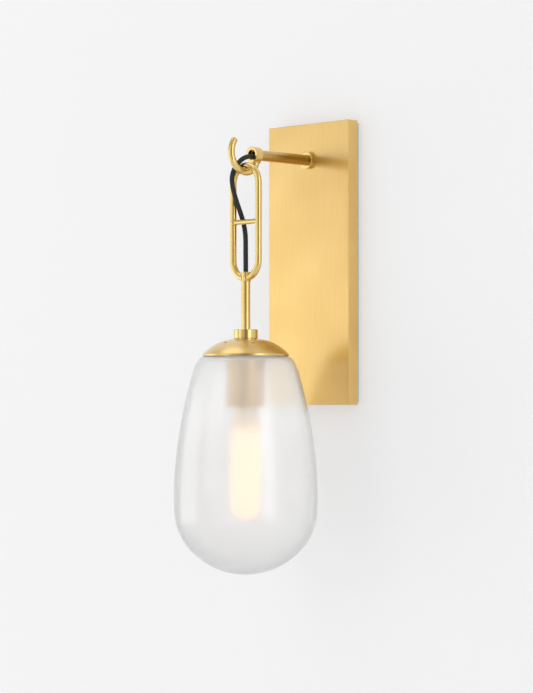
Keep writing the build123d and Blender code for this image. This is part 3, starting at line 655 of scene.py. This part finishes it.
braidShader = addNode(tree, "ShaderNodeBsdfPrincipled", {
    "Base Color": braidColourWithPaintedShade.outputs[2], "Roughness": 0.85, "Sheen Weight": 0.15, "Normal": fuzz.outputs[0]})
addNode(tree, "ShaderNodeOutputMaterial", {"Surface": braidShader.outputs[0]})

# The same braid inside the tubes, on CAD nodes that carry no weave: plain black with a rough nap.
hiddenBraid = plainFinish("blackCottonFlex", ("#1C1C1B", "#333231"), 0.9, (0.8, 0.9), relief=0.5)

# Glass, blown and acid-etched inside: the etch scatters what is behind into a soft haze, with painted shade where the
# wall is seen edge on, and the clear outer skin keeps a faint gloss. A weak painted glow of its own, brightest near the
# dome and dimmer lower down, stands for light that the etch scatters.
etchedGlass, tree = newMaterial("etchedOpalGlass")
where = addNode(tree, "ShaderNodeTexCoord").outputs["Object"]
cloud = addNode(tree, "ShaderNodeTexNoise", {"Vector": where, "Scale": 1 / (40 * mm), "Detail": 2.0})
etchRough = addNode(tree, "ShaderNodeMapRange", {
    "Value": cloud.outputs[0], "From Min": 0.3, "From Max": 0.7, "To Min": 0.24, "To Max": 0.265})
# Painted shade: the base colour turns grey where the wall is seen edge on.
edgeOn = addNode(tree, "ShaderNodeLayerWeight", {"Blend": 0.5})
edgeShadeShare = addNode(tree, "ShaderNodeMapRange", {
    "Value": edgeOn.outputs["Facing"], "From Min": 0.6, "From Max": 0.85, "To Min": 0.0, "To Max": 1.0},
    interpolation_type="SMOOTHSTEP")
clouded = addNode(tree, "ShaderNodeMix", {
    "Factor": cloud.outputs[0], 6: linear("#F9F9F9"), 7: linear("#FEFEFE")}, data_type="RGBA")
etchColourWithEdgeShade = addNode(tree, "ShaderNodeMix", {
    "Factor": edgeShadeShare.outputs[0], 6: clouded.outputs[2], 7: linear("#DADBDC")}, data_type="RGBA")
# Painted glow: the glass gives off a weak light of its own, brightest near the dome and dimmer lower down.
glowHeight = addNode(tree, "ShaderNodeSeparateXYZ", {"Vector": where}).outputs["Z"]
paintedGlowShare = addNode(tree, "ShaderNodeMapRange", {
    "Value": glowHeight, "From Min": -0.22, "From Max": -0.13, "To Min": 0.0, "To Max": 1.0},
    interpolation_type="SMOOTHSTEP")
paintedGlowColour = addNode(tree, "ShaderNodeMix", {
    "Factor": paintedGlowShare.outputs[0], 6: linear("#959594"), 7: linear("#FDFEFF")}, data_type="RGBA")
glassShader = addNode(tree, "ShaderNodeBsdfPrincipled", {
    "Base Color": etchColourWithEdgeShade.outputs[2], "Roughness": etchRough.outputs[0], "Transmission Weight": 0.84,
    "Emission Color": paintedGlowColour.outputs[2], "Emission Strength": 0.044, "IOR": 1.45, "Coat Weight": 0.5,
    "Coat Roughness": 0.2})
glassMix = addNode(tree, "ShaderNodeMixShader", {
    "Fac": addNode(tree, "ShaderNodeLightPath").outputs["Is Shadow Ray"], 1: glassShader.outputs[0],
    2: addNode(tree, "ShaderNodeBsdfTransparent", {"Color": linear("#C6C6C6")}).outputs[0]})
addNode(tree, "ShaderNodeOutputMaterial", {"Surface": glassMix.outputs[0]})

# Glass, thin and silica-coated inside: creamy and even where the filament lights it, and dull in the neck above it.
coatedBulb, tree = newMaterial("silicaCoatedGlass")
where = addNode(tree, "ShaderNodeTexCoord").outputs["Object"]
dust = addNode(tree, "ShaderNodeTexNoise", {"Vector": where, "Scale": 1 / (6 * mm), "Detail": 2.0})
coatColour = addNode(tree, "ShaderNodeMix", {
    "Factor": dust.outputs[0], 6: linear("#FDEFDC"), 7: linear("#FFF5E8")}, data_type="RGBA")
level = addNode(tree, "ShaderNodeSeparateXYZ", {"Vector": where}).outputs["Z"]
litHeight = addNode(tree, "ShaderNodeMapRange", {
    "Value": level, "From Min": -0.183, "From Max": -0.172, "To Min": 1.0, "To Max": 0.0},
    interpolation_type="SMOOTHSTEP")
litShare = addNode(tree, "ShaderNodeMix", {
    "Factor": litHeight.outputs[0], 6: linear("#A39C92"), 7: linear("#FFEAD2")}, data_type="RGBA")
bulbShader = addNode(tree, "ShaderNodeBsdfPrincipled", {
    "Base Color": coatColour.outputs[2], "Roughness": 0.2, "Transmission Weight": 0.62, "IOR": 1.45,
    "Emission Color": litShare.outputs[2], "Emission Strength": 0.25})
bulbMix = addNode(tree, "ShaderNodeMixShader", {
    "Fac": addNode(tree, "ShaderNodeLightPath").outputs["Is Shadow Ray"], 1: bulbShader.outputs[0],
    2: addNode(tree, "ShaderNodeBsdfTransparent", {"Color": linear("#F5EEDD")}).outputs[0]})
addNode(tree, "ShaderNodeOutputMaterial", {"Surface": bulbMix.outputs[0]})

# The lit filament, coiled tungsten: an orange-white glow that varies with its turns.
glowWire, tree = newMaterial("glowingFilament")
turns = addNode(tree, "ShaderNodeTexNoise", {
    "Vector": addNode(tree, "ShaderNodeTexCoord").outputs["Object"], "Scale": 1 / (1.5 * mm)})
glowColour = addNode(tree, "ShaderNodeMix", {
    "Factor": turns.outputs[0], 6: linear("#FFC490"), 7: linear("#FFDCB4")}, data_type="RGBA")
glowShader = addNode(tree, "ShaderNodeBsdfPrincipled", {
    "Base Color": glowColour.outputs[2], "Roughness": 0.5, "Emission Color": glowColour.outputs[2],
    "Emission Strength": 1.3})
addNode(tree, "ShaderNodeOutputMaterial", {"Surface": glowShader.outputs[0]})

# Soda-lime glass of the bulb's mount, drawn and clear.
clearGlass, tree = newMaterial("drawnClearGlass")
ripple = addNode(tree, "ShaderNodeTexNoise", {
    "Vector": addNode(tree, "ShaderNodeTexCoord").outputs["Object"], "Scale": 1 / (3 * mm)})
clearTint = addNode(tree, "ShaderNodeMix", {
    "Factor": ripple.outputs[0], 6: linear("#EEF3F0"), 7: linear("#FBFDFC")}, data_type="RGBA")
clearShader = addNode(tree, "ShaderNodeBsdfPrincipled", {
    "Base Color": clearTint.outputs[2], "Roughness": 0.05, "Transmission Weight": 0.9, "IOR": 1.5})
addNode(tree, "ShaderNodeOutputMaterial", {"Surface": clearShader.outputs[0]})
print("cord, glass and lamp finishes made")

place(hookPiece, wireBrass, "wall_fixture", "brushed_brass", "hook")
place(linkPiece, wireBrass, "pendant", "brushed_brass", "link_rod")
place(barPiece, wireBrass, "pendant", "brushed_brass", "link_crossbar")
place(armPiece, shadedTubeBrass, "wall_fixture", "brushed_brass", "arm_tube")
place(flangePiece, armBrass, "wall_fixture", "brushed_brass", "arm_flange")
place(collarPiece, armBrass, "wall_fixture", "brushed_brass", "end_collar")
place(stemPiece, turnedBrass, "pendant", "brushed_brass", "stem_tube")
place(stemCollarPiece, turnedBrass, "pendant", "brushed_brass", "stem_collar")
place(shadePiece, etchedGlass, "shade", "frosted_glass", "glass_shade")
place(bulbPiece, coatedBulb, "bulb", "bulb_glass", "bulb_glass")
place(basePiece, nickelPlate, "bulb", "bulb_metal", "bulb_base")
place(shellPiece, nickelPlate, "pendant", "bulb_metal", "socket_shell")
place(cupPiece, shadedCupBrass, "pendant", "brushed_brass", "socket_cup")
place(cordPiece, cottonBraid, None, "cord_braid", "hanging_cord")
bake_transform(cordPiece)

# The CAD nodes that stay, with their finishes.
finishOf = {
    "backplate_cover": plateBrass, "mounting_pan": zincSteel, "ground_screw": zincSteel, "cover_screws": zincSteel,
    "arm_washer": zincSteel, "arm_nut": zincSteel, "dome_cap": domeBrass, "dome_washer": zincSteel,
    "dome_nut": zincSteel, "fitter_ring": turnedBrass, "neck_gasket": silicone, "cup_washer": zincSteel,
    "cup_nut": zincSteel, "lamp_socket": phenolic, "socket_contact": springBronze, "bulb_insulator": vitrite,
    "bulb_tip": nickelPlate, "bulb_mount": clearGlass, "bulb_filament": glowWire, "arm_cord": hiddenBraid,
    "stem_cord": hiddenBraid,
}
for name, material in finishOf.items():
    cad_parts[name].data.materials.clear()
    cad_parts[name].data.materials.append(material)
print("finishes given out")

# The studio: a pale wall that the fixture hangs on, a pale floor, and softboxes at both sides of a dark gap where the
# camera stands, which draws the dark stripe down each round part.
studio = {"pale": "#F4F4F4", "steady": 0.975, "shadowShare": 0.58, "surround": 0.66, "wallHalf": 4.0, "wallTop": 3.6,
          "holeHalf": (0.055, 0.147), "floorHalf": 6.0, "floorHeight": -0.95, "grain": 3.0}


# Pale paint: mostly a steady tone for what the camera, metal and glass see, and for the rest plain matt paint, which
# keeps the object's shadow.
def palePaint(name, backShows):
    material, tree = newMaterial(name)
    path = addNode(tree, "ShaderNodeLightPath")
    where = addNode(tree, "ShaderNodeTexCoord").outputs["Object"]
    grain = addNode(tree, "ShaderNodeTexNoise", {"Vector": where, "Scale": studio["grain"]})
    paint = addNode(tree, "ShaderNodeMix", {
        "Factor": grain.outputs[0], 6: linear("#FBFBFB"), 7: linear("#FEFEFE")}, data_type="RGBA")
    matt = addNode(tree, "ShaderNodeBsdfDiffuse", {"Color": paint.outputs[2]})
    steady = addNode(tree, "ShaderNodeEmission", {"Color": linear("#FFFFFF"), "Strength": studio["steady"]})
    seen = addNode(tree, "ShaderNodeMath", {
        0: path.outputs["Is Camera Ray"], 1: path.outputs["Is Glossy Ray"]}, operation="MAXIMUM")
    share = addNode(tree, "ShaderNodeMath", {0: seen.outputs[0], 1: 1 - studio["shadowShare"]}, operation="MULTIPLY")
    share = addNode(tree, "ShaderNodeMath", {
        0: share.outputs[0], 1: path.outputs["Is Transmission Ray"]}, operation="MAXIMUM")
    surface = addNode(tree, "ShaderNodeMixShader", {"Fac": share.outputs[0], 1: matt.outputs[0], 2: steady.outputs[0]})
    if not backShows:
        surface = addNode(tree, "ShaderNodeMixShader", {
            "Fac": addNode(tree, "ShaderNodeNewGeometry").outputs["Backfacing"], 1: surface.outputs[0],
            2: addNode(tree, "ShaderNodeBsdfTransparent").outputs[0]})
    addNode(tree, "ShaderNodeOutputMaterial", {"Surface": surface.outputs[0]})
    return material


# A flat sheet of four corners. One with a hole has four more, round the hole, and a quad along each side.
def stageSheet(name, material, outer, inner=()):
    mesh = bpy.data.meshes.new(name)
    faces = [(0, 1, 5, 4), (1, 2, 6, 5), (2, 3, 7, 6), (3, 0, 4, 7)] if inner else [(0, 1, 2, 3)]
    mesh.from_pydata([*outer, *inner], [], faces)
    mesh.materials.append(material)
    sheet = bpy.data.objects.new(name, mesh)
    bpy.context.scene.collection.objects.link(sheet)
    return sheet


# The four corners of an upright rectangle in the wall's plane.
def uprightCorners(half, low, top):
    return [(-half, 0, low), (half, 0, low), (half, 0, top), (-half, 0, top)]


# The wall has a hole behind the plate, as the junction box has.
holeHalf, holeTop = studio["holeHalf"]
wall = stageSheet("studioWall", palePaint("paleWallPaint", False),
                  uprightCorners(studio["wallHalf"], studio["floorHeight"], studio["wallTop"]),
                  uprightCorners(holeHalf, -holeTop, holeTop))
wall.visible_shadow = wall.visible_diffuse = False
far = studio["floorHalf"]
stageSheet("studioFloor", palePaint("paleFloorPaint", True),
           [(x, y, studio["floorHeight"]) for x, y in ((-far, -far), (far, -far), (far, far), (-far, far))])

world = bpy.data.worlds.new("studioWorld")
bpy.context.scene.world = world
world.use_nodes = True
tree = world.node_tree
tree.nodes.clear()
path = addNode(tree, "ShaderNodeLightPath")
around = addNode(tree, "ShaderNodeBackground", {"Color": linear("#F8F8FA"), "Strength": studio["surround"]})
direct = addNode(tree, "ShaderNodeMath", {
    0: path.outputs["Is Camera Ray"], 1: path.outputs["Is Transmission Ray"]}, operation="MAXIMUM")
behind = addNode(tree, "ShaderNodeBackground", {"Color": linear(studio["pale"]), "Strength": 1.0})
worldMix = addNode(tree, "ShaderNodeMixShader", {
    "Fac": direct.outputs[0], 1: around.outputs[0], 2: behind.outputs[0]})
addNode(tree, "ShaderNodeOutputWorld", {"Surface": worldMix.outputs[0]})

# Softboxes: place, what they face, width, height (all in metres), and how bright their face is. Power is that
# brightness times pi times the area.
softboxes = {
    "keyLeft": ((-2.2, -1.35, -0.38), (0, -0.1, -0.1), 2.0, 1.9, 1.02),
    "fillFront": ((-0.5, -2.6, 0.5), (0, -0.1, -0.1), 1.3, 1.8, 0.75),
    "fillRight": ((2.5, -0.45, 0.3), (0, -0.1, -0.1), 0.9, 2.7, 1.8),
    "overhead": ((-0.55, -0.5, 1.9), (0, -0.1, -0.1), 1.3, 1.1, 1.05),
    "backFill": ((0.4, 2.6, 0.6), (0, 0.0, -0.05), 2.4, 2.0, 0.5),
}
for name, (spot, aim, width, height, radiance) in softboxes.items():
    lamp = bpy.data.lights.new(name, "AREA")
    lamp.shape, lamp.size, lamp.size_y = "RECTANGLE", width, height
    lamp.energy = radiance * pi * width * height
    holder = bpy.data.objects.new(name, lamp)
    holder.location = spot
    holder.rotation_mode = "QUATERNION"
    holder.rotation_quaternion = (Vector(aim) - Vector(spot)).to_track_quat("-Z", "Y")
    holder.visible_camera = False
    bpy.context.scene.collection.objects.link(holder)

# A grey flag of pressed felt beside the camera, which only reflections see: it keeps the dark gap between the
# softboxes. near and far are where its upright sides stand.
flagFacts = {"near": (1.30, -1.95), "far": (2.15, -1.20), "low": -1.0, "top": 1.3}
greyFelt = plainFinish("greyFelt", ("#82796A", "#8C8273"), 4.0, (0.9, 1.0))
flag = stageSheet("greyFlag", greyFelt, [
    (*flagFacts["near"], flagFacts["low"]), (*flagFacts["far"], flagFacts["low"]),
    (*flagFacts["far"], flagFacts["top"]), (*flagFacts["near"], flagFacts["top"])])
flag.visible_camera = flag.visible_diffuse = flag.visible_shadow = flag.visible_transmission = False
bpy.context.scene.view_settings.view_transform = "Standard"
print("studio made")
